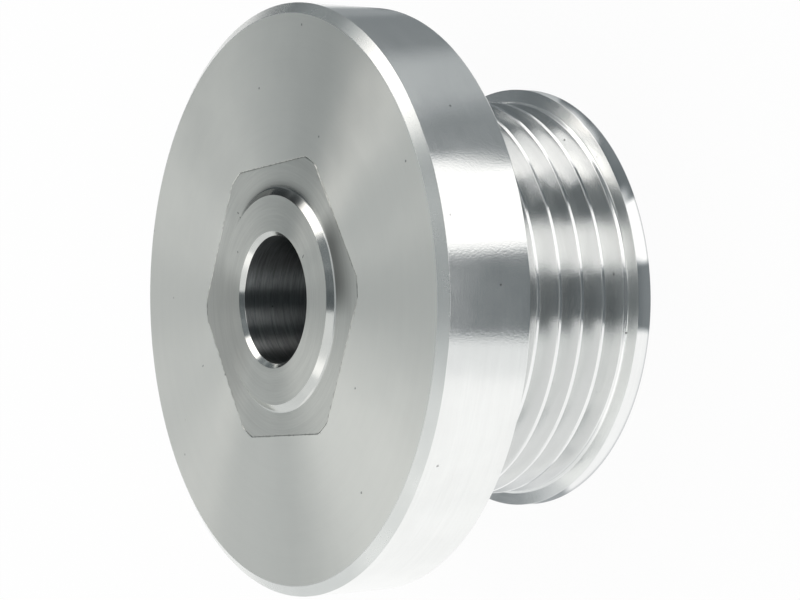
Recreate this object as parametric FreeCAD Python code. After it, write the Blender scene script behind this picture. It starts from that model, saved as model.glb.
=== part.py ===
import FreeCAD, Part
import math
import os

# Belt pulley of an alternator, in millimetres.
# It is two pieces: a ribbed hub, which carries the belt and sits on the shaft, and a heavy smooth
# disc, which is pressed over the hub's hexagonal spigot until its back meets the hub's shoulder.
# The axis is +Z with the disc on top. The origin is on the axis, in the plane of the rear end.

# Belt ribs of the hub: V grooves with a flat root, between narrow flat crests
rib_pitch = 3.56
groove_count = 6
groove_angle = 40.0
groove_depth = 3.2
crest_diameter = 55.0
crest_land = 0.5

# Plain band between the middle of the first crest and the shoulder under the disc
shoulder_band = 2.75
shoulder_edge = 0.2

# Rear flange that keeps the belt on: its lip above the crests, and the run of its steep front face
flange_lip = 1.9
flange_width = 2.2
flange_face_run = 0.6
flange_rear_edge = 0.3

# Bore for the shaft
bore_diameter = 17.0
bore_front_chamfer = 0.6
bore_rear_chamfer = 0.8

# Annular relief in the rear end, between the seat that meets the shaft's collar and the ribbed wall
rear_seat_diameter = 29.0
ribbed_wall = 3.8
relief_depth = 15.0
relief_corner_bevel = 1.2
relief_edge = 0.3

# Hexagonal spigot, with a little turned off its six sharp corners
hexagon_across_flats = 36.0
hexagon_corner_cut = 0.8
hexagon_edge_break = 0.12

# Low nose boss that the shaft's nut bears on
boss_diameter = 30.0
boss_bevel_radial = 1.1
boss_height = 0.9

# Front disc
disc_diameter = 78.5
disc_width = 12.7
disc_front_bevel_radial = 1.4
disc_front_bevel_axial = 0.9
disc_rear_edge = 0.15
disc_hole_edge_break = 0.12

# Room between the disc's hole and the turned corners of the hexagon. The flats touch.
corner_clearance = 0.05

# Radii
crest_r = crest_diameter / 2
root_r = crest_r - groove_depth
flange_r = crest_r + flange_lip
bore_r = bore_diameter / 2
rear_seat_r = rear_seat_diameter / 2
relief_r = root_r - ribbed_wall
boss_r = boss_diameter / 2
spigot_corner_r = hexagon_across_flats / math.sqrt(3) - hexagon_corner_cut
hole_corner_r = spigot_corner_r + corner_clearance
disc_r = disc_diameter / 2

# Heights above the rear end
last_crest_z = flange_width + flange_face_run
first_crest_z = last_crest_z + groove_count * rib_pitch
shoulder_z = first_crest_z + shoulder_band
front_z = shoulder_z + disc_width
nose_z = front_z + boss_height

# Along the axis, how far one flank of a groove runs from its crest to its root
flank_run = groove_depth * math.tan(math.radians(groove_angle / 2))

# The bevels in the relief's corners leave at least a third of its floor flat
relief_bevel = min(relief_corner_bevel, (relief_r - rear_seat_r) / 3)

axis_origin = FreeCAD.Vector(0, 0, 0)
axis_direction = FreeCAD.Vector(0, 0, 1)
height_tolerance = 1e-6


def at(radius, height):
    """Point of a turned outline."""
    return FreeCAD.Vector(radius, 0, height)


def turned(corners):
    """Solid of revolution of an outline given as (radius, height) corners."""
    points = [at(radius, height) for radius, height in corners]
    outline = Part.makePolygon(points + points[:1])
    return Part.Face(outline).revolve(axis_origin, axis_direction, 360)


def hexagon_prism(corner_r):
    """Hexagon as high as the disc is wide, two corners on the Y axis, its corners turned off."""
    sharp_r = hexagon_across_flats / math.sqrt(3)
    corners = []
    for index in range(6):
        angle = math.radians(90 + 60 * index)
        corners.append(FreeCAD.Vector(sharp_r * math.cos(angle), sharp_r * math.sin(angle), shoulder_z))
    outline = Part.makePolygon(corners + corners[:1])
    prism = Part.Face(outline).extrude(axis_direction * disc_width)
    round_bar = Part.makeCylinder(corner_r, disc_width, at(0, shoulder_z))
    return prism.common(round_bar)


def flat_edges(shape, height, reach):
    """Edges that lie level at one height and stay within a distance of the axis."""
    return [
        edge
        for edge in shape.Edges
        if abs(edge.BoundBox.ZMin - height) < height_tolerance
        and abs(edge.BoundBox.ZMax - height) < height_tolerance
        and edge.BoundBox.XMax < reach
    ]


def barrel():
    """Ribbed barrel with the rear flange, the relief in the rear end and the plain band."""
    corners = [
        (0, 0),
        (rear_seat_r - relief_edge, 0),
        (rear_seat_r, relief_edge),
        (rear_seat_r, relief_depth - relief_bevel),
        (rear_seat_r + relief_bevel, relief_depth),
        (relief_r - relief_bevel, relief_depth),
        (relief_r, relief_depth - relief_bevel),
        (relief_r, relief_edge),
        (relief_r + relief_edge, 0),
        (flange_r - flange_rear_edge, 0),
        (flange_r, flange_rear_edge),
        (flange_r, flange_width),
        (crest_r, last_crest_z - crest_land / 2),
    ]
    for index in range(groove_count):
        groove_start = last_crest_z + index * rib_pitch + crest_land / 2
        groove_end = groove_start + rib_pitch - crest_land
        corners += [
            (crest_r, groove_start),
            (root_r, groove_start + flank_run),
            (root_r, groove_end - flank_run),
            (crest_r, groove_end),
        ]
    corners += [
        (crest_r, shoulder_z - shoulder_edge),
        (crest_r - shoulder_edge, shoulder_z),
        (0, shoulder_z),
    ]
    return turned(corners)


def spigot():
    """Hexagonal spigot whose front edge is broken where it meets the disc's face."""
    prism = hexagon_prism(spigot_corner_r)
    return prism.makeChamfer(hexagon_edge_break, flat_edges(prism, front_z, disc_r))


def nose_boss():
    """Low boss with a bevelled rim on the front of the spigot."""
    return Part.makeCone(boss_r, boss_r - boss_bevel_radial, boss_height, at(0, front_z))


def shaft_bore():
    """What the through bore and its two chamfers take away."""
    return turned([
        (0, 0),
        (bore_r + bore_rear_chamfer, 0),
        (bore_r, bore_rear_chamfer),
        (bore_r, nose_z - bore_front_chamfer),
        (bore_r + bore_front_chamfer, nose_z),
        (0, nose_z),
    ])


def ribbed_hub():
    """The hub in one piece: barrel, spigot and nose boss, bored through."""
    body = barrel().fuse([spigot(), nose_boss()])
    return body.cut(shaft_bore()).removeSplitter()


def front_disc():
    """Smooth disc with a wide bevel round its face and a hexagonal hole for the spigot."""
    blank = turned([
        (0, shoulder_z),
        (disc_r - disc_rear_edge, shoulder_z),
        (disc_r, shoulder_z + disc_rear_edge),
        (disc_r, front_z - disc_front_bevel_axial),
        (disc_r - disc_front_bevel_radial, front_z),
        (0, front_z),
    ])
    disc = blank.cut(hexagon_prism(hole_corner_r))
    hole_edges = []
    for height in (shoulder_z, front_z):
        hole_edges += flat_edges(disc, height, hole_corner_r + disc_hole_edge_break)
    return disc.makeChamfer(disc_hole_edge_break, hole_edges)


def only_solid(shape):
    """The single closed solid of a finished piece."""
    assert len(shape.Solids) == 1 and shape.isValid()
    return shape.Solids[0]


os.makedirs("parts", exist_ok=True)
for name, piece in (("ribbed_hub", ribbed_hub()), ("front_disc", front_disc())):
    only_solid(piece).exportStep("parts/" + name + ".step")
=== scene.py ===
"""The alternator pulley, dressed: turned steel surfaces, the joint round the hexagon and the studio.

The pulley stands on its rear end, with the disc on top. The camera looks down on it from the
photograph's side and is rolled, so that the axis lies across the picture.
Lengths are in metres, and azimuths and elevations in degrees.
"""

import math

import bmesh
import bpy
from mathutils import Matrix, Vector


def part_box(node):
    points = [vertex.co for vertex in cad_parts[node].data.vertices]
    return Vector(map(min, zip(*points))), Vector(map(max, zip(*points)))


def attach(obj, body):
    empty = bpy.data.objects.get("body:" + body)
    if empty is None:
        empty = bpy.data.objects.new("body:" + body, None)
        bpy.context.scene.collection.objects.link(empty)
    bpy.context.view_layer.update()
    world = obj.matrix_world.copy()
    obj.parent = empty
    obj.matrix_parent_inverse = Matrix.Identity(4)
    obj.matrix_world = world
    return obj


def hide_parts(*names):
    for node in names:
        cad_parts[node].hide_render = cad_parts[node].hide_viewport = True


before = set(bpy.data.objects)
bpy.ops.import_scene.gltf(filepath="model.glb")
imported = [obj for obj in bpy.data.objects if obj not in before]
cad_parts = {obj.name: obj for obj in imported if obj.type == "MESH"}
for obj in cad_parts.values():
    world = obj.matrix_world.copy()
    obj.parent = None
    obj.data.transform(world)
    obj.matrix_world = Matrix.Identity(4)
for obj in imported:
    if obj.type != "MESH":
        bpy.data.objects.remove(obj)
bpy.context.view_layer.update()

MM = 0.001
MICRON = 0.001 * MM
AXIS = Vector((0, 0, 1))
STEPS_ROUND = 240

# Sizes that the frame gives
_, hub_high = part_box("ribbed_hub")
disc_low, disc_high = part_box("front_disc")
nose_z = hub_high.z
shoulder_z = disc_low.z
front_z = disc_high.z
flange_r = hub_high.x
disc_r = disc_high.x

# Belt ribs: V grooves between narrow rounded crests
rib_pitch = 3.56 * MM
groove_count = 6
groove_half_angle = math.radians(20)
groove_depth = 3.2 * MM
crest_r = 27.5 * MM
crest_land = 0.5 * MM
crest_rounding = 0.16 * MM
root_rounding = 0.42 * MM
root_r = crest_r - groove_depth

# Rear flange
flange_width = 2.2 * MM
flange_face_run = 0.6 * MM
flange_foot_rounding = 0.35 * MM
flange_rear_edge = 0.3 * MM

# Bore, rear seat and relief
bore_r = 8.5 * MM
bore_front_chamfer = 0.6 * MM
bore_rear_chamfer = 0.8 * MM
rear_seat_r = 14.5 * MM
relief_r = 20.5 * MM
relief_depth = 15 * MM
relief_corner_rounding = 1.6 * MM
relief_edge = 0.3 * MM

# Hexagonal spigot, its hole in the disc, and the nose boss
side_angle = math.pi / 3
flat_distance = 18 * MM
corner_cut = 0.8 * MM
corner_r = 2 / math.sqrt(3) * flat_distance - corner_cut
corner_clearance = 0.05 * MM
hole_corner_r = corner_r + corner_clearance
joint_edge_break = 0.12 * MM
boss_base_r = 15 * MM
boss_foot_rounding = 0.8 * MM
boss_top_r = 13.9 * MM

# Bevels of the disc
disc_bevel_radial = 1.4 * MM
disc_bevel_axial = 0.9 * MM
disc_rear_edge = 0.15 * MM
shoulder_edge = 0.2 * MM

# Smallest rounding of an edge that a file or a belt has dulled
dulled_edge = 0.06 * MM

# Angle between the points of a rounding, and how far past its ends a point keeps the flats flat
arc_step = math.radians(18)
hold_width = 0.03 * MM

# Photograph's camera: where it stands round the axis, how high over the middle of the disc's face and
# how far from it, and how it is then turned, nodded and rolled
camera_side = -94.0
camera_height_angle = 29.73
camera_distance = 0.28774
camera_turn = -3.23
camera_nod = -0.04
camera_roll = -0.58
picture_width_px = 800
focal_px = 2165.8


def beside(azimuth, elevation=0.0):
    """Unit direction, its azimuth counted from the camera's side towards the picture's top."""
    turn = math.radians(camera_side + azimuth)
    rise = math.radians(elevation)
    return Vector((math.cos(turn) * math.cos(rise), math.sin(turn) * math.cos(rise), math.sin(rise)))


def rounded(corners):
    """Outline points of (radius, height, rounding) corners, each rounding an arc of short steps.

    A point close to each end of an arc keeps the flats beside it flat when they are shaded smooth.
    """
    places = [Vector((radius, height)) for radius, height, rounding in corners]
    outline = []
    for index, corner in enumerate(places):
        rounding = corners[index][2]
        to_last = (places[index - 1] - corner).normalized()
        to_next = (places[(index + 1) % len(places)] - corner).normalized()
        half_angle = to_last.angle(to_next) / 2
        setback = rounding / math.tan(half_angle)
        centre = corner + (to_last + to_next).normalized() * rounding / math.sin(half_angle)
        start = corner + to_last * setback
        end = corner + to_next * setback
        sweep = (start - centre).angle_signed(end - centre)
        steps = max(2, round(abs(sweep) / arc_step))
        outline.append(start + to_last * hold_width)
        for step in range(steps + 1):
            turn = Matrix.Rotation(-sweep * step / steps, 2)
            outline.append(centre + turn @ (start - centre))
        outline.append(end + to_next * hold_width)
    return outline


def spun(outline):
    """A bmesh of the outline turned once round the axis, with its faces outward."""
    mesh = bmesh.new()
    ring = [mesh.verts.new((point.x, 0, point.y)) for point in outline]
    edges = [mesh.edges.new((ring[index - 1], ring[index])) for index in range(len(ring))]
    bmesh.ops.spin(
        mesh, geom=ring + edges, cent=(0, 0, 0), axis=AXIS, angle=math.tau, steps=STEPS_ROUND,
        use_merge=True,
    )
    bmesh.ops.recalc_face_normals(mesh, faces=mesh.faces)
    return mesh


def mill_flats(verts, round_r):
    """Brings what stands past the six flats in to them, along its own radius.

    round_r is the radius that ends up on the flats. A ring beside it stays as far beside them.
    """
    for vert in verts:
        radius = vert.co.xy.length
        angle = math.atan2(vert.co.y, vert.co.x)
        from_flat = (angle + side_angle / 2) % side_angle - side_angle / 2
        reach = (flat_distance + radius - round_r) / math.cos(from_flat)
        if radius > reach:
            vert.co.xy *= reach / radius


def added(name, mesh, finishes):
    """An object in the scene, made from a bmesh, with these materials."""
    data = bpy.data.meshes.new(name)
    mesh.to_mesh(data)
    mesh.free()
    for finish in finishes:
        data.materials.append(finish)
    new_object = bpy.data.objects.new(name, data)
    bpy.context.scene.collection.objects.link(new_object)
    return new_object


def finished(name, mesh, finish_of, finishes):
    """A smooth piece from a bmesh. finish_of gives the one of the finishes that a face shows."""
    for face in mesh.faces:
        face.smooth = True
        face.material_index = finishes.index(finish_of(face))
    return added(name, mesh, finishes)


def hub_outline():
    """Closed outline of the hub, from the bore round the rear end and the ribs to the nose."""
    last_crest_z = flange_width + flange_face_run
    flank_run = groove_depth * math.tan(groove_half_angle)
    corners = [
        (bore_r, bore_rear_chamfer, dulled_edge),
        (bore_r + bore_rear_chamfer, 0, dulled_edge),
        (rear_seat_r, 0, relief_edge),
        (rear_seat_r, relief_depth, relief_corner_rounding),
        (relief_r, relief_depth, relief_corner_rounding),
        (relief_r, 0, relief_edge),
        (flange_r, 0, flange_rear_edge),
        (flange_r, flange_width, dulled_edge),
        (crest_r, last_crest_z - crest_land / 2, flange_foot_rounding),
    ]
    for index in range(groove_count):
        start = last_crest_z + index * rib_pitch + crest_land / 2
        end = start + rib_pitch - crest_land
        corners += [
            (crest_r, start, crest_rounding),
            (root_r, start + flank_run, root_rounding),
            (root_r, end - flank_run, root_rounding),
            (crest_r, end, crest_rounding),
        ]
    corners += [
        (crest_r, shoulder_z, shoulder_edge),
        (corner_r, shoulder_z, dulled_edge),
        (corner_r, front_z, joint_edge_break),
        (boss_base_r, front_z, boss_foot_rounding),
        (boss_top_r, nose_z, dulled_edge),
        (bore_r + bore_front_chamfer, nose_z, dulled_edge),
        (bore_r, nose_z - bore_front_chamfer, dulled_edge),
    ]
    return rounded(corners)


def disc_outline():
    """Closed outline of the disc, from its hole round the back and the rim to the face."""
    return rounded([
        (hole_corner_r, shoulder_z, joint_edge_break),
        (hole_corner_r, front_z, joint_edge_break),
        (disc_r - disc_bevel_radial, front_z, dulled_edge),
        (disc_r, front_z - disc_bevel_axial, dulled_edge),
        (disc_r, shoulder_z, disc_rear_edge),
    ])


def add_node(tree, kind, **settings):
    """A new shader node with its properties set."""
    node = tree.nodes.new(kind)
    for key, value in settings.items():
        setattr(node, key, value)
    return node


def feed(tree, socket, source):
    """Links a socket to another one, or sets it to a number or a vector."""
    if isinstance(source, bpy.types.NodeSocket):
        tree.links.new(source, socket)
    else:
        socket.default_value = source


def vector_math(tree, operation, *sources):
    """The result of a Vector Math node fed by sockets or fixed vectors."""
    node = add_node(tree, "ShaderNodeVectorMath", operation=operation)
    for socket, source in zip(node.inputs, sources):
        feed(tree, socket, source)
    return node.outputs["Value" if operation in ("LENGTH", "DOT_PRODUCT") else "Vector"]


def math_node(tree, operation, *sources):
    """The result of a Math node fed by sockets or fixed numbers."""
    node = add_node(tree, "ShaderNodeMath", operation=operation)
    for socket, source in zip(node.inputs, sources):
        feed(tree, socket, source)
    return node.outputs[0]


def product(tree, first, *others):
    """Numbers multiplied together."""
    for other in others:
        first = math_node(tree, "MULTIPLY", first, other)
    return first


def mapped(tree, value, source, target):
    """A number taken smoothly from one (low, high) range to another, and held past its ends."""
    node = add_node(tree, "ShaderNodeMapRange", interpolation_type="SMOOTHSTEP")
    tree.links.new(value, node.inputs["Value"])
    for name, number in zip(("From Min", "From Max", "To Min", "To Max"), (*source, *target)):
        node.inputs[name].default_value = number
    return node.outputs["Result"]


def noise(tree, vector, size, detail=2.0, roughness=0.5):
    """Noise from 0 to 1 at a place, with features of this size."""
    node = add_node(tree, "ShaderNodeTexNoise", noise_dimensions="3D")
    tree.links.new(vector, node.inputs["Vector"])
    node.inputs["Scale"].default_value = 1 / size
    node.inputs["Detail"].default_value = detail
    node.inputs["Roughness"].default_value = roughness
    return node.outputs[0]


def off_axis(tree, place):
    """A place without its height."""
    return vector_math(tree, "MULTIPLY", place, (1, 1, 0))


def axis_distance(tree, place):
    """How far a place is from the axis."""
    return vector_math(tree, "LENGTH", off_axis(tree, place))


# Weight of the height beside the radius in a place along the outline, and how far round the axis the
# rings' noise drifts
height_weight = 1.7
ring_drift = 0.6 * MM


def turning_coordinates(tree):
    """Where a point lies, and where it lies for the lathe.

    The first number for the lathe runs along the outline, radius and height together. The other two
    go slowly round the axis, so that a noise read there is drawn out into rings with no seam.
    """
    place = add_node(tree, "ShaderNodeTexCoord").outputs["Object"]
    height = vector_math(tree, "DOT_PRODUCT", place, AXIS)
    along = math_node(tree, "MULTIPLY_ADD", height, height_weight, axis_distance(tree, place))
    around = add_node(tree, "ShaderNodeSeparateXYZ")
    tree.links.new(vector_math(tree, "NORMALIZE", off_axis(tree, place)), around.inputs[0])
    lathe = add_node(tree, "ShaderNodeCombineXYZ")
    tree.links.new(along, lathe.inputs["X"])
    tree.links.new(product(tree, around.outputs["X"], ring_drift), lathe.inputs["Y"])
    tree.links.new(product(tree, around.outputs["Y"], ring_drift), lathe.inputs["Z"])
    return place, lathe.outputs[0]


# Pits: how far apart they are, and the size of the noise that makes them ragged. Its strength, and
# where the edge of a pit starts and ends, are shares of how far apart they are
pit_spacing = 5 * MM
pit_ragged_size = 0.1 * MM
pit_raggedness = 0.06
pit_edge = (0.045, 0.075)


def pits(tree, place):
    """0 in a few tiny pits spread over the metal and 1 elsewhere."""
    cells = add_node(tree, "ShaderNodeTexVoronoi", voronoi_dimensions="3D", feature="F1")
    tree.links.new(place, cells.inputs["Vector"])
    cells.inputs["Scale"].default_value = 1 / pit_spacing
    ragged = noise(tree, place, pit_ragged_size)
    from_middle = math_node(tree, "MULTIPLY_ADD", ragged, pit_raggedness, cells.outputs[0])
    return mapped(tree, from_middle, pit_edge, (0, 1))


# Line of the joint: how far apart its burrs are, the noise values between which they grow, its half
# width without and with a burr, at which share of that it starts to fade, and how light it is
burr_spacing = 0.9 * MM
burr_noise = (0.42, 0.68)
joint_half_width = (0.04 * MM, 0.22 * MM)
joint_core_share = 0.3
joint_tone = 0.7


def beside_joint(tree, place):
    """Darker on the joint between the spigot and the disc, and 1 a little way off it."""
    flat_reach = None
    for side in range(3):
        facing = Vector((math.cos(side * side_angle), math.sin(side * side_angle), 0))
        reach = math_node(tree, "ABSOLUTE", vector_math(tree, "DOT_PRODUCT", place, facing))
        flat_reach = reach if flat_reach is None else math_node(tree, "MAXIMUM", flat_reach, reach)
    past_flats = math_node(tree, "SUBTRACT", flat_reach, flat_distance)
    middle_of_gap = corner_r + corner_clearance / 2
    past_corners = math_node(tree, "SUBTRACT", axis_distance(tree, place), middle_of_gap)
    off = math_node(tree, "ABSOLUTE", math_node(tree, "MAXIMUM", past_flats, past_corners))
    half_width = mapped(tree, noise(tree, place, burr_spacing), burr_noise, joint_half_width)
    return mapped(tree, math_node(tree, "DIVIDE", off, half_width), (joint_core_share, 1), (joint_tone, 1))


# Places of painted shade and painted dark reflection: azimuth, half width of the core and of the whole,
# from and to which radius, darkness
painted_shade_places = [
    (17, 8, 27, boss_base_r, corner_r + 0.5 * MM, 0.66),
    (91, 24, 42, boss_top_r, boss_base_r + 1.5 * MM, 0.82),
    (-164, 22, 42, bore_r + bore_front_chamfer, 3 * corner_r, 0.24),
    (122, 18, 42, bore_r, bore_r + 0.1 * MM, 0.55),
    (-108, 12, 26, bore_r, bore_r + 0.1 * MM, 0.5),
]


def painted_shade_spots(tree, place):
    """Painted shade and dark reflection at the foot and bevel of the boss, on the hexagon and in the bore:
    dark there, and 1 elsewhere.
    """
    radius = axis_distance(tree, place)
    clear = 1.0
    for azimuth, core, reach, near, far, darkness in painted_shade_places:
        toward = math_node(tree, "DIVIDE", vector_math(tree, "DOT_PRODUCT", place, beside(azimuth)), radius)
        edge_cosines = (math.cos(math.radians(reach)), math.cos(math.radians(core)))
        across = mapped(tree, toward, edge_cosines, (0, 1))
        outward = mapped(tree, radius, (near, far), (darkness, 0))
        inward = mapped(tree, radius, (near - dulled_edge, near), (0, 1))
        strength = product(tree, across, outward, inward)
        clear = product(tree, math_node(tree, "SUBTRACT", 1, strength), clear)
    return clear


# Painted shade on the flanks of the ribs: where it starts, is fullest, and ends short of the crests
flank_shade_start_r = root_r + 0.5 * MM
flank_shade_full_r = crest_r - 0.7 * MM
flank_shade_end_r = crest_r - 0.12 * MM
flank_shade_darkness = 0.06


def painted_flank_shade(tree, place):
    """Painted shade: greyer on the flanks of the ribs towards their crests, and 1 on the crests and
    elsewhere.
    """
    radius = axis_distance(tree, place)
    height = vector_math(tree, "DOT_PRODUCT", place, AXIS)
    inward = mapped(tree, radius, (flank_shade_start_r, flank_shade_full_r), (0, flank_shade_darkness))
    outward = mapped(tree, radius, (flank_shade_end_r - dulled_edge, flank_shade_end_r), (1, 0))
    above_flange = mapped(tree, height, (flange_width / 2, flange_width), (0, 1))
    return math_node(tree, "SUBTRACT", 1, product(tree, inward, outward, above_flange))


# Nicks on the front: azimuth, distance from the axis, length
nick_places = [
    (131.9, 16.0 * MM, 0.45 * MM),
    (-68.5, 14.5 * MM, 0.40 * MM),
    (34.0, 9.95 * MM, 0.55 * MM),
    (-156.7, 23.3 * MM, 0.40 * MM),
    (131.5, 14.95 * MM, 0.70 * MM),
]
nick_width = 0.17 * MM
nick_slant = 20

# Where the edge of a nick starts and ends, as squares of a distance from its middle over its size,
# and how light a nick is
nick_edge = (0.1, 0.4)
nick_tone = 0.25


def nicks(tree, place):
    """Dark in a few small nicks and 1 elsewhere."""
    clear = 1.0
    for azimuth, radius, length in nick_places:
        from_nick = vector_math(tree, "SUBTRACT", place, beside(azimuth) * radius)
        lengthwise = vector_math(tree, "DOT_PRODUCT", from_nick, beside(azimuth + nick_slant))
        crosswise = vector_math(tree, "DOT_PRODUCT", from_nick, beside(azimuth + nick_slant + 90))
        crosswise = math_node(tree, "POWER", math_node(tree, "DIVIDE", crosswise, nick_width), 2)
        lengthwise = math_node(tree, "POWER", math_node(tree, "DIVIDE", lengthwise, length), 2)
        off = mapped(tree, math_node(tree, "ADD", crosswise, lengthwise), nick_edge, (nick_tone, 1))
        clear = math_node(tree, "MINIMUM", off, clear)
    return clear


# Rings of the lathe tool: the width of a fine one as a share of a coarse one's, the strength of the
# coarse ones beside the fine ones', the range of their noise, and how much they lighten the metal for
# each part that they darken it
fine_ring_share = 0.22
coarse_ring_strength = 0.8
ring_noise = (0.5, 1.3)
ring_lightening = 0.4

# Soft clouds: the range of their noise, and what they do to the tone and the roughness
cloud_noise = (0.3, 0.7)
cloud_tone = (0.98, 1.02)
cloud_roughness = (-0.02, 0.02)

# Size of the fine grain, and the most that it and the fine rings add to the roughness
grain_size = 0.25 * MM
grain_roughness = 0.04
ring_roughness = 0.06

# How light a pit is
pit_tone = 0.35


def steel_tone(tree, place, rings, clouds, marks_in_colour, stains_and_painted_shade):
    """How light the metal is at a place, with 1 for plain metal."""
    ring_tone = (1 - marks_in_colour, 1 + marks_in_colour * ring_lightening)
    ringed = mapped(tree, rings, ring_noise, ring_tone)
    clouded = mapped(tree, clouds, cloud_noise, cloud_tone)
    pitted = math_node(tree, "MULTIPLY_ADD", pits(tree, place), 1 - pit_tone, pit_tone)
    darkened = [darkening(tree, place) for darkening in stains_and_painted_shade]
    return product(tree, ringed, clouded, pitted, *darkened)


def steel_roughness(tree, fine_rings, clouds, grain, roughness):
    """The roughness at a place, this value on average."""
    uneven = mapped(tree, clouds, cloud_noise, cloud_roughness)
    uneven = math_node(tree, "MULTIPLY_ADD", grain, grain_roughness, uneven)
    uneven = math_node(tree, "MULTIPLY_ADD", fine_rings, ring_roughness, uneven)
    average = (grain_roughness + ring_roughness) / 2
    return math_node(tree, "ADD", uneven, roughness - average)


def steel_normal(tree, place, normal, relief, lean):
    """The way the surface faces: leaning outward, and uneven with the relief."""
    outward = vector_math(tree, "NORMALIZE", off_axis(tree, place))
    leaning = vector_math(tree, "ADD", vector_math(tree, "MULTIPLY", outward, (lean,) * 3), normal)
    bump = add_node(tree, "ShaderNodeBump")
    bump.inputs["Strength"].default_value = 1
    bump.inputs["Distance"].default_value = 1
    tree.links.new(relief, bump.inputs["Height"])
    tree.links.new(vector_math(tree, "NORMALIZE", leaning), bump.inputs["Normal"])
    return bump.outputs["Normal"]


def turned_steel(name, colour, roughness, spread, lean=0.0, mark_size=0.14 * MM, mark_depth=0.4 * MICRON,
                 marks_in_colour=0.03, grain_depth=0.5 * MICRON, blotch=8 * MM, stains_and_painted_shade=()):
    """Steel with the rings of a lathe tool.

    spread is how far the rings scatter light across themselves, lean how far their flanks lean
    outward, mark_size the width of a ring, mark_depth its depth, marks_in_colour how much it
    lightens and darkens, grain_depth the depth of the fine grain, blotch the size of the soft
    clouds in its shine. The functions given last darken places of it: the dark joint, nicks, and painted
    shade.
    """
    material = bpy.data.materials.new(name)
    material.use_nodes = True
    tree = material.node_tree
    shader = tree.nodes["Principled BSDF"]
    place, lathe = turning_coordinates(tree)

    fine_rings = noise(tree, lathe, mark_size, detail=3.0, roughness=0.7)
    coarse_rings = noise(tree, lathe, mark_size / fine_ring_share, detail=2.0, roughness=0.6)
    rings = math_node(tree, "MULTIPLY_ADD", coarse_rings, coarse_ring_strength, fine_rings)
    clouds = noise(tree, place, blotch, detail=3.0, roughness=0.6)
    grain = noise(tree, place, grain_size, detail=1.0, roughness=0.5)

    tinted = vector_math(tree, "SCALE", colour)
    tone = steel_tone(tree, place, rings, clouds, marks_in_colour, stains_and_painted_shade)
    tree.links.new(tone, tinted.node.inputs["Scale"])
    tree.links.new(tinted, shader.inputs["Base Color"])
    uneven = steel_roughness(tree, fine_rings, clouds, grain, roughness)
    tree.links.new(uneven, shader.inputs["Roughness"])

    normal = add_node(tree, "ShaderNodeNewGeometry").outputs["Normal"]
    relief = math_node(tree, "MULTIPLY_ADD", grain, grain_depth, product(tree, rings, mark_depth))
    tree.links.new(steel_normal(tree, place, normal, relief, lean), shader.inputs["Normal"])
    around = vector_math(tree, "CROSS_PRODUCT", AXIS, place)
    tree.links.new(vector_math(tree, "CROSS_PRODUCT", around, normal), shader.inputs["Tangent"])
    shader.inputs["Anisotropic"].default_value = spread
    shader.inputs["Metallic"].default_value = 1
    return material


# The flanks of the ribs carry painted shade, greyer towards the crests.
rib_steel = turned_steel(
    "rib_steel", (0.86, 0.87, 0.865), roughness=0.18, spread=0.6, mark_size=0.16 * MM,
    grain_depth=5 * MICRON, stains_and_painted_shade=(painted_flank_shade,),
)
worn_steel = turned_steel(
    "worn_steel", (0.93, 0.94, 0.93), roughness=0.18, spread=0.7, mark_depth=0.8 * MICRON,
    grain_depth=8 * MICRON,
)
# Its darker places beside the boss's foot and towards the far side are painted shade and dark reflection.
spigot_steel = turned_steel(
    "spigot_steel", (0.705, 0.716, 0.676), roughness=0.32, spread=0.95, lean=0.075,
    mark_size=0.26 * MM, mark_depth=5 * MICRON, marks_in_colour=0.1, stains_and_painted_shade=(beside_joint, painted_shade_spots, nicks),
)
# Its dark crescent on one side is painted shade and dark reflection.
boss_bevel_steel = turned_steel(
    "boss_bevel_steel", (0.79, 0.80, 0.77), roughness=0.14, spread=0.6, lean=0.05,
    mark_size=0.1 * MM, mark_depth=0.2 * MICRON, grain_depth=1.5 * MICRON, stains_and_painted_shade=(painted_shade_spots,),
)
bevel_steel = turned_steel(
    "bevel_steel", (0.79, 0.80, 0.77), roughness=0.14, spread=0.6, mark_size=0.1 * MM,
    mark_depth=0.2 * MICRON,
)
# The bore's steel is far darker than the rest: painted shade for the shadow down the bore, with more
# painted shade at its front edge.
bore_steel_painted_shade = turned_steel(
    "bore_steel_painted_shade", (0.33, 0.352, 0.356), roughness=0.37, spread=1.0, mark_size=0.12 * MM,
    mark_depth=3 * MICRON, marks_in_colour=0.5, stains_and_painted_shade=(painted_shade_spots,),
)
face_steel = turned_steel(
    "face_steel", (0.90, 0.907, 0.858), roughness=0.34, spread=0.95, lean=0.105,
    mark_size=0.2 * MM, mark_depth=0.3 * MICRON, marks_in_colour=0.015, blotch=12 * MM,
    stains_and_painted_shade=(beside_joint, nicks),
)
rim_steel = turned_steel(
    "rim_steel", (0.86, 0.872, 0.86), roughness=0.19, spread=0.6, grain_depth=7 * MICRON,
)
rim_bevel_steel = turned_steel(
    "rim_bevel_steel", (0.875, 0.89, 0.865), roughness=0.26, spread=0.7, grain_depth=2 * MICRON,
)


def hub_finish(face):
    """The steel of a face of the hub, by where the face lies."""
    middle = face.calc_center_median()
    radius = middle.xy.length
    if radius < bore_r + bore_front_chamfer / 4 and middle.z < nose_z - bore_front_chamfer:
        return bore_steel_painted_shade
    if front_z + dulled_edge / 2 < middle.z < nose_z - dulled_edge / 2:
        return boss_bevel_steel if radius > (bore_r + boss_top_r) / 2 else bevel_steel
    if middle.z > shoulder_z:
        return spigot_steel
    if flange_width < middle.z < flange_width + flange_face_run and radius > crest_r:
        return worn_steel
    return rib_steel


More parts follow.
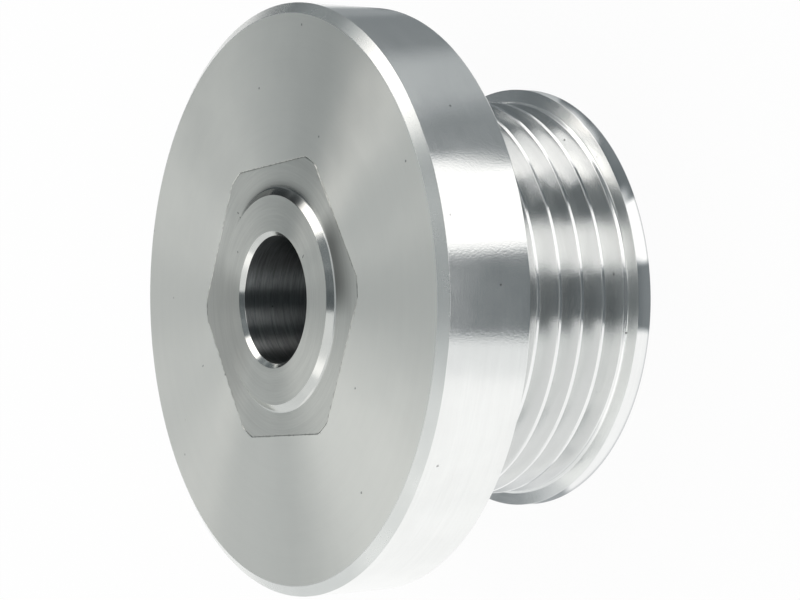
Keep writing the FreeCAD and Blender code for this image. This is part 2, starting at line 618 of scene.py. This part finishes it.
def disc_finish(face):
    """The steel of a face of the disc: its faced front, the bevel, or the turned rim and back."""
    middle = face.calc_center_median()
    face_r = disc_r - disc_bevel_radial - dulled_edge
    if middle.z > front_z - joint_edge_break and middle.xy.length < face_r:
        return face_steel
    return rim_bevel_steel if middle.z > front_z - disc_bevel_axial else rim_steel


def make_hub():
    """The hub in one piece, its spigot milled to six flats."""
    mesh = spun(hub_outline())
    spigot = [
        vert for vert in mesh.verts
        if vert.co.z > shoulder_z - hold_width / 2
        and flat_distance - hold_width < vert.co.xy.length < corner_r + hold_width / 2
    ]
    mill_flats(spigot, corner_r)
    finishes = [rib_steel, bore_steel_painted_shade, spigot_steel, bevel_steel, worn_steel, boss_bevel_steel]
    piece = finished("hub_ribs_and_spigot", mesh, hub_finish, finishes)
    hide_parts("ribbed_hub")
    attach(piece, "root")


def make_disc():
    """The disc, its hole milled to the same six flats."""
    mesh = spun(disc_outline())
    hole = [vert for vert in mesh.verts if vert.co.xy.length < hole_corner_r + joint_edge_break * 2]
    mill_flats(hole, hole_corner_r)
    piece = finished("disc_face_and_rim", mesh, disc_finish, [rim_steel, face_steel, rim_bevel_steel])
    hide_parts("front_disc")
    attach(piece, "root")


def make_camera():
    """The photograph's camera: it looks down at the pulley and is rolled a quarter turn."""
    back = beside(0, camera_height_angle)
    up = beside(90)
    right = up.cross(back)
    axes = Matrix((right, up, back)).transposed()
    axes = axes @ Matrix.Rotation(math.radians(camera_turn), 3, "Y")
    axes = axes @ Matrix.Rotation(math.radians(camera_nod), 3, "X")
    axes = axes @ Matrix.Rotation(math.radians(camera_roll), 3, "Z")
    data = bpy.data.cameras.new("photograph_side")
    data.lens = focal_px * data.sensor_width / picture_width_px
    data.clip_start = 10 * MM
    camera = bpy.data.objects.new("photograph_side", data)
    place = Vector((0, 0, front_z)) + back * camera_distance
    camera.matrix_world = Matrix.Translation(place) @ axes.to_4x4()
    bpy.context.scene.collection.objects.link(camera)
    bpy.context.scene.camera = camera


def seen_white(tree):
    """1 for what the camera sees, straight or in metal and glass, and 0 for light on matt things."""
    path = add_node(tree, "ShaderNodeLightPath")
    either = math_node(tree, "MAXIMUM", path.outputs["Is Camera Ray"], path.outputs["Is Glossy Ray"])
    return math_node(tree, "MAXIMUM", either, path.outputs["Is Transmission Ray"])


floor_radius = 3.0
floor_sides = 96
floor_colour = (0.9, 0.9, 0.9, 1)
floor_whiteness = 0.93


def make_floor():
    """Pale floor that meets the rear end. It shows nearly white and keeps a soft shadow."""
    mesh = bmesh.new()
    bmesh.ops.create_circle(mesh, cap_ends=True, segments=floor_sides, radius=floor_radius)
    material = bpy.data.materials.new("pale_floor")
    material.use_nodes = True
    tree = material.node_tree
    matt = tree.nodes["Principled BSDF"]
    matt.inputs["Base Color"].default_value = floor_colour
    matt.inputs["Roughness"].default_value = 1
    matt.inputs["Specular IOR Level"].default_value = 0
    white = add_node(tree, "ShaderNodeEmission")
    white.inputs["Color"].default_value = (1, 1, 1, 1)
    mix = add_node(tree, "ShaderNodeMixShader")
    tree.links.new(product(tree, seen_white(tree), floor_whiteness), mix.inputs[0])
    tree.links.new(matt.outputs[0], mix.inputs[1])
    tree.links.new(white.outputs[0], mix.inputs[2])
    tree.links.new(mix.outputs[0], tree.nodes["Material Output"].inputs["Surface"])
    floor = added("floor", mesh, [material])


def between(tree, value, low, high, soft):
    """1 between low and high and 0 beyond them, with edges as wide as soft."""
    rise = mapped(tree, value, (low - soft / 2, low + soft / 2), (0, 1))
    fall = mapped(tree, value, (high - soft / 2, high + soft / 2), (1, 0))
    return product(tree, rise, fall)


def patched(tree, across, along, ground, patches):
    """A brightness: that of the ground, or of the last patch in whose two ranges a place lies."""
    bright = ground
    for (low, high), (near, far), soft, patch_bright in patches:
        inside = product(
            tree, between(tree, across, low, high, soft), between(tree, along, near, far, soft),
        )
        mix = add_node(tree, "ShaderNodeMix", data_type="FLOAT")
        tree.links.new(inside, mix.inputs["Factor"])
        feed(tree, mix.inputs["A"], bright)
        mix.inputs["B"].default_value = patch_bright
        bright = mix.outputs["Result"]
    return bright


# Powers that the red, green and blue of the tent are raised to, which tint its dark panels alone
dark_tint = {"X": 1.06, "Y": 1.0, "Z": 0.97}


def cool_in_the_dark(tree, brightness):
    """A colour of this brightness: neutral when bright and a little blue-green when dark."""
    colour = add_node(tree, "ShaderNodeCombineXYZ")
    for channel, power in dark_tint.items():
        tree.links.new(math_node(tree, "POWER", brightness, power), colour.inputs[channel])
    return colour.outputs[0]


def azimuth_degrees(tree, direction):
    """Angle of a direction round the axis, from the camera's side towards the picture's top."""
    ahead = vector_math(tree, "DOT_PRODUCT", direction, beside(0))
    aside = vector_math(tree, "DOT_PRODUCT", direction, beside(90))
    return product(tree, math_node(tree, "ARCTAN2", aside, ahead), math.degrees(1))


# Light on matt things, and what metal sees of the tent. A patch of it gives its azimuths, its
# elevations, the width of its soft edges and its brightness, and lies over the patches before it
tent_light = 1.0
tent_ground = 0.75
tent_patches = [
    ((-70, -24.5), (-90, 48), 8, 1.1),
    ((-98, -24), (27, 50), 6, 1.2),
    ((-19, 47), (44, 74), 7, 0.14),
    ((-19, 15), (-90, 74), 7, 0.09),
    ((-19, 15), (31, 56), 7, 0.2),
    ((19, 45.5), (-90, 46), 6, 1.42),
    ((45.5, 92), (-90, 74), 6, 0.2),
    ((88, 181), (-90, 74), 8, 0.58),
    ((76, 103), (-90, 46), 5, 1.8),
    ((78, 120), (27, 46), 5, 2.1),
    ((92, 120), (42, 58.5), 5, 1.4),
    ((103, 131), (-90, 22), 5, 0.16),
    ((131, 168), (-90, 42), 6, 0.3),
    ((133, 164), (24, 50), 6, 0.14),
    ((132, 174), (-90, 14), 5, 0.13),
    ((117, 131), (-90, 25), 4, 0.2),
    ((168, 181), (38, 74), 8, 0.42),
    ((173, 181), (-90, 18), 6, 0.85),
    ((-181, -120), (-90, 42), 8, 0.62),
    ((-181, -173), (-90, 18), 6, 0.85),
    ((-152, -118), (-90, 34), 6, 0.72),
    ((-150, -116), (31, 44), 6, 0.92),
    ((-167, -152), (22, 37.8), 6, 0.2),
    ((-181, -148), (38, 74), 8, 0.42),
    ((-168, -142), (37, 54), 8, 0.62),
    ((-181, -170), (40, 74), 8, 0.36),
    ((-181, -166), (31, 41), 6, 0.95),
    ((173, 181), (20, 38), 6, 0.36),
    ((-181, -176), (20, 30), 6, 0.36),
    ((-181, 181), (74, 91), 8, 0.42),
    ((54, 88), (65, 82), 6, 0.55),
]


def make_world():
    """A light tent: even white for matt things, while metal sees its panels, gaps and lamps."""
    world = bpy.data.worlds.new("light_tent")
    world.use_nodes = True
    tree = world.node_tree
    direction = add_node(tree, "ShaderNodeTexCoord").outputs["Generated"]
    height = vector_math(tree, "DOT_PRODUCT", direction, AXIS)
    elevation = product(tree, math_node(tree, "ARCSINE", height), math.degrees(1))
    seen = patched(tree, azimuth_degrees(tree, direction), elevation, tent_ground, tent_patches)
    mix = add_node(tree, "ShaderNodeMix", data_type="FLOAT")
    tree.links.new(add_node(tree, "ShaderNodeLightPath").outputs["Is Glossy Ray"], mix.inputs["Factor"])
    mix.inputs["A"].default_value = tent_light
    tree.links.new(seen, mix.inputs["B"])
    background = tree.nodes["Background"]
    tree.links.new(cool_in_the_dark(tree, mix.outputs["Result"]), background.inputs["Color"])
    bpy.context.scene.world = world


# Panels on the floor, under the bore and round the flange, and how far they lie clear of both
panel_clearance = 0.1 * MM
panels_inner_r = flange_r - flange_rear_edge / 2
panels_outer_r = 300 * MM
panel_lift = 0.02 * MM
panel_steps = 180

# Distances from the axis, in millimetres, of what each part of the pulley mirrors of the floor
bore_shadow_zone = (-1, 12)
flange_foot_shadow_zone = (28, 29.8)
flange_zone = (28, 33.2)
rib_zone = (31.6, 56)
drum_zone = (56, 110)

# A patch of the panels gives its azimuths, its distances from the axis in millimetres, the width of
# its soft edges in degrees and in millimetres, and its brightness, and lies over those before it
panel_ground = 1.04
panel_patches = [
    # Nearly black disc under the bore: painted shade, the shadow down the bore as its metal mirrors it.
    ((-181, 181), bore_shadow_zone, 1, 0.02),
    ((9, 28.5), flange_zone, 2.5, 1.25),
    # Darker ring at the foot of the flange: a painted contact shadow, as the flange mirrors it.
    ((-181, 181), flange_foot_shadow_zone, 0.3, 0.7),
    ((-84, -68), flange_zone, 6, 0.34),
    ((-9.2, 9), flange_zone, 2.5, 0.24),
    ((27.2, 90), flange_zone, 3, 0.45),
    ((27.2, 70), flange_zone, 3, 0.12),
    ((27.2, 54), flange_zone, 3, 0.19),
    ((38, 52), flange_zone, 5, 0.23),
    ((-9.5, 10.5), rib_zone, 3, 0.14),
    ((10.5, 31), rib_zone, 4, 1.2),
    ((31, 150), rib_zone, 5, 0.14),
    ((20, 35.6), (37.5, 56), 3, 1.2),
    ((57, 80), rib_zone, 5, 1.36),
    ((50.5, 64), (31.6, 37), 5, 1.36),
    ((48, 64), (31.6, 34.5), 3, 1.36),
    ((70, 88), (41, 56), 5, 1.2),
    ((44, 56), (39.5, 42), 2, 1.3),
    ((-23, -11), drum_zone, 7, 0.86),
    ((-11.5, 14), drum_zone, 5, 0.18),
    ((37, 126), drum_zone, 5, 0.33),
    ((37, 113), drum_zone, 5, 0.24),
    ((14.5, 38.5), drum_zone, 5, 1.3),
    ((14.5, 42.5), (82, 110), 5, 1.3),
    ((60, 84), drum_zone, 13, 0.45),
    ((114, 126), (44, 56), 5, 2.8),
    ((121, 150), (56.5, 63.5), 4, 0.14),
    ((103, 131), (110, 300), 5, 0.2),
]


def panels_mesh():
    """A bmesh of a ring under the bore and a wide one round the flange, just clear of the floor."""
    mesh = bmesh.new()
    for near_r, far_r in ((panel_clearance, bore_r - panel_clearance), (panels_inner_r, panels_outer_r)):
        ends = [mesh.verts.new((near_r, 0, 0)), mesh.verts.new((far_r, 0, 0))]
        edge = mesh.edges.new(ends)
        bmesh.ops.spin(
            mesh, geom=ends + [edge], cent=(0, 0, 0), axis=AXIS, angle=math.tau, steps=panel_steps,
            use_merge=True,
        )
    bmesh.ops.translate(mesh, verts=mesh.verts, vec=(0, 0, panel_lift))
    return mesh


def make_floor_panels():
    """Grey and white panels on the floor round the pulley, which only the metal sees, with painted shade
    under the bore and at the foot of the flange.
    """
    material = bpy.data.materials.new("floor_panels")
    material.use_nodes = True
    tree = material.node_tree
    place = add_node(tree, "ShaderNodeTexCoord").outputs["Object"]
    radius_mm = math_node(tree, "DIVIDE", vector_math(tree, "LENGTH", place), MM)
    seen = patched(tree, azimuth_degrees(tree, place), radius_mm, panel_ground, panel_patches)
    glow = add_node(tree, "ShaderNodeEmission")
    tree.links.new(cool_in_the_dark(tree, seen), glow.inputs["Color"])
    tree.links.new(glow.outputs[0], tree.nodes["Material Output"].inputs["Surface"])
    panels = added("floor_panels", panels_mesh(), [material])
    panels.visible_camera = False
    panels.visible_diffuse = False
    panels.visible_shadow = False
    panels.visible_transmission = False


make_hub()
make_disc()
make_camera()
make_floor()
make_world()
make_floor_panels()

scene = bpy.context.scene
scene.view_settings.view_transform = "Standard"
